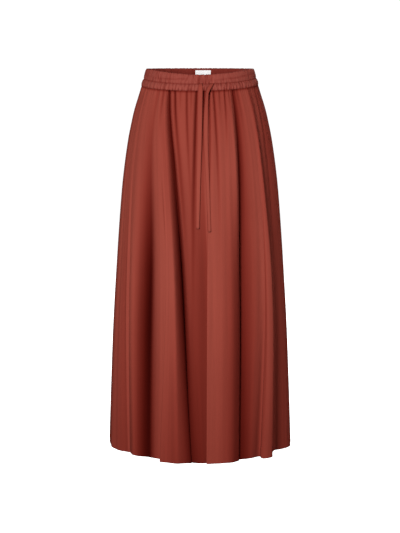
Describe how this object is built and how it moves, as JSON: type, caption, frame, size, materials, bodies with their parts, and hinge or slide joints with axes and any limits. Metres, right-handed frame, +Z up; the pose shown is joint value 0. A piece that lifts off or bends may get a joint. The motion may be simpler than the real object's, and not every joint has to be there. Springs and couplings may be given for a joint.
{
  "type": "pleated midi skirt",
  "caption": "Full-length pleated woven skirt filled out as worn, with a gathered elasticated waistband, flat drawstring ends and pressed pleats.",
  "frame": {"origin": "middle of the waistband, on the skirt's own axis, where the wearer's waist holds it", "axes": "+Z up, along the skirt's length; the front faces -Y; +X is to the viewer's right when the front is seen"},
  "size_m": [0.432, 0.3354, 0.887],
  "materials": {
    "skirt_cloth": "matte terracotta crepe weave",
    "band_cloth": "matte terracotta crepe weave, shirred over elastic",
    "tie_cloth": "matte terracotta crepe weave, folded flat",
    "label_cloth": "white woven tape"
  },
  "bodies": {
    "root": {"waistband_front": "band_cloth", "waistband_back": "band_cloth", "front_panel": "skirt_cloth", "back_panel": "skirt_cloth", "tie_left": "tie_cloth", "tie_right": "tie_cloth", "label": "label_cloth"}
  },
  "joints": []
}
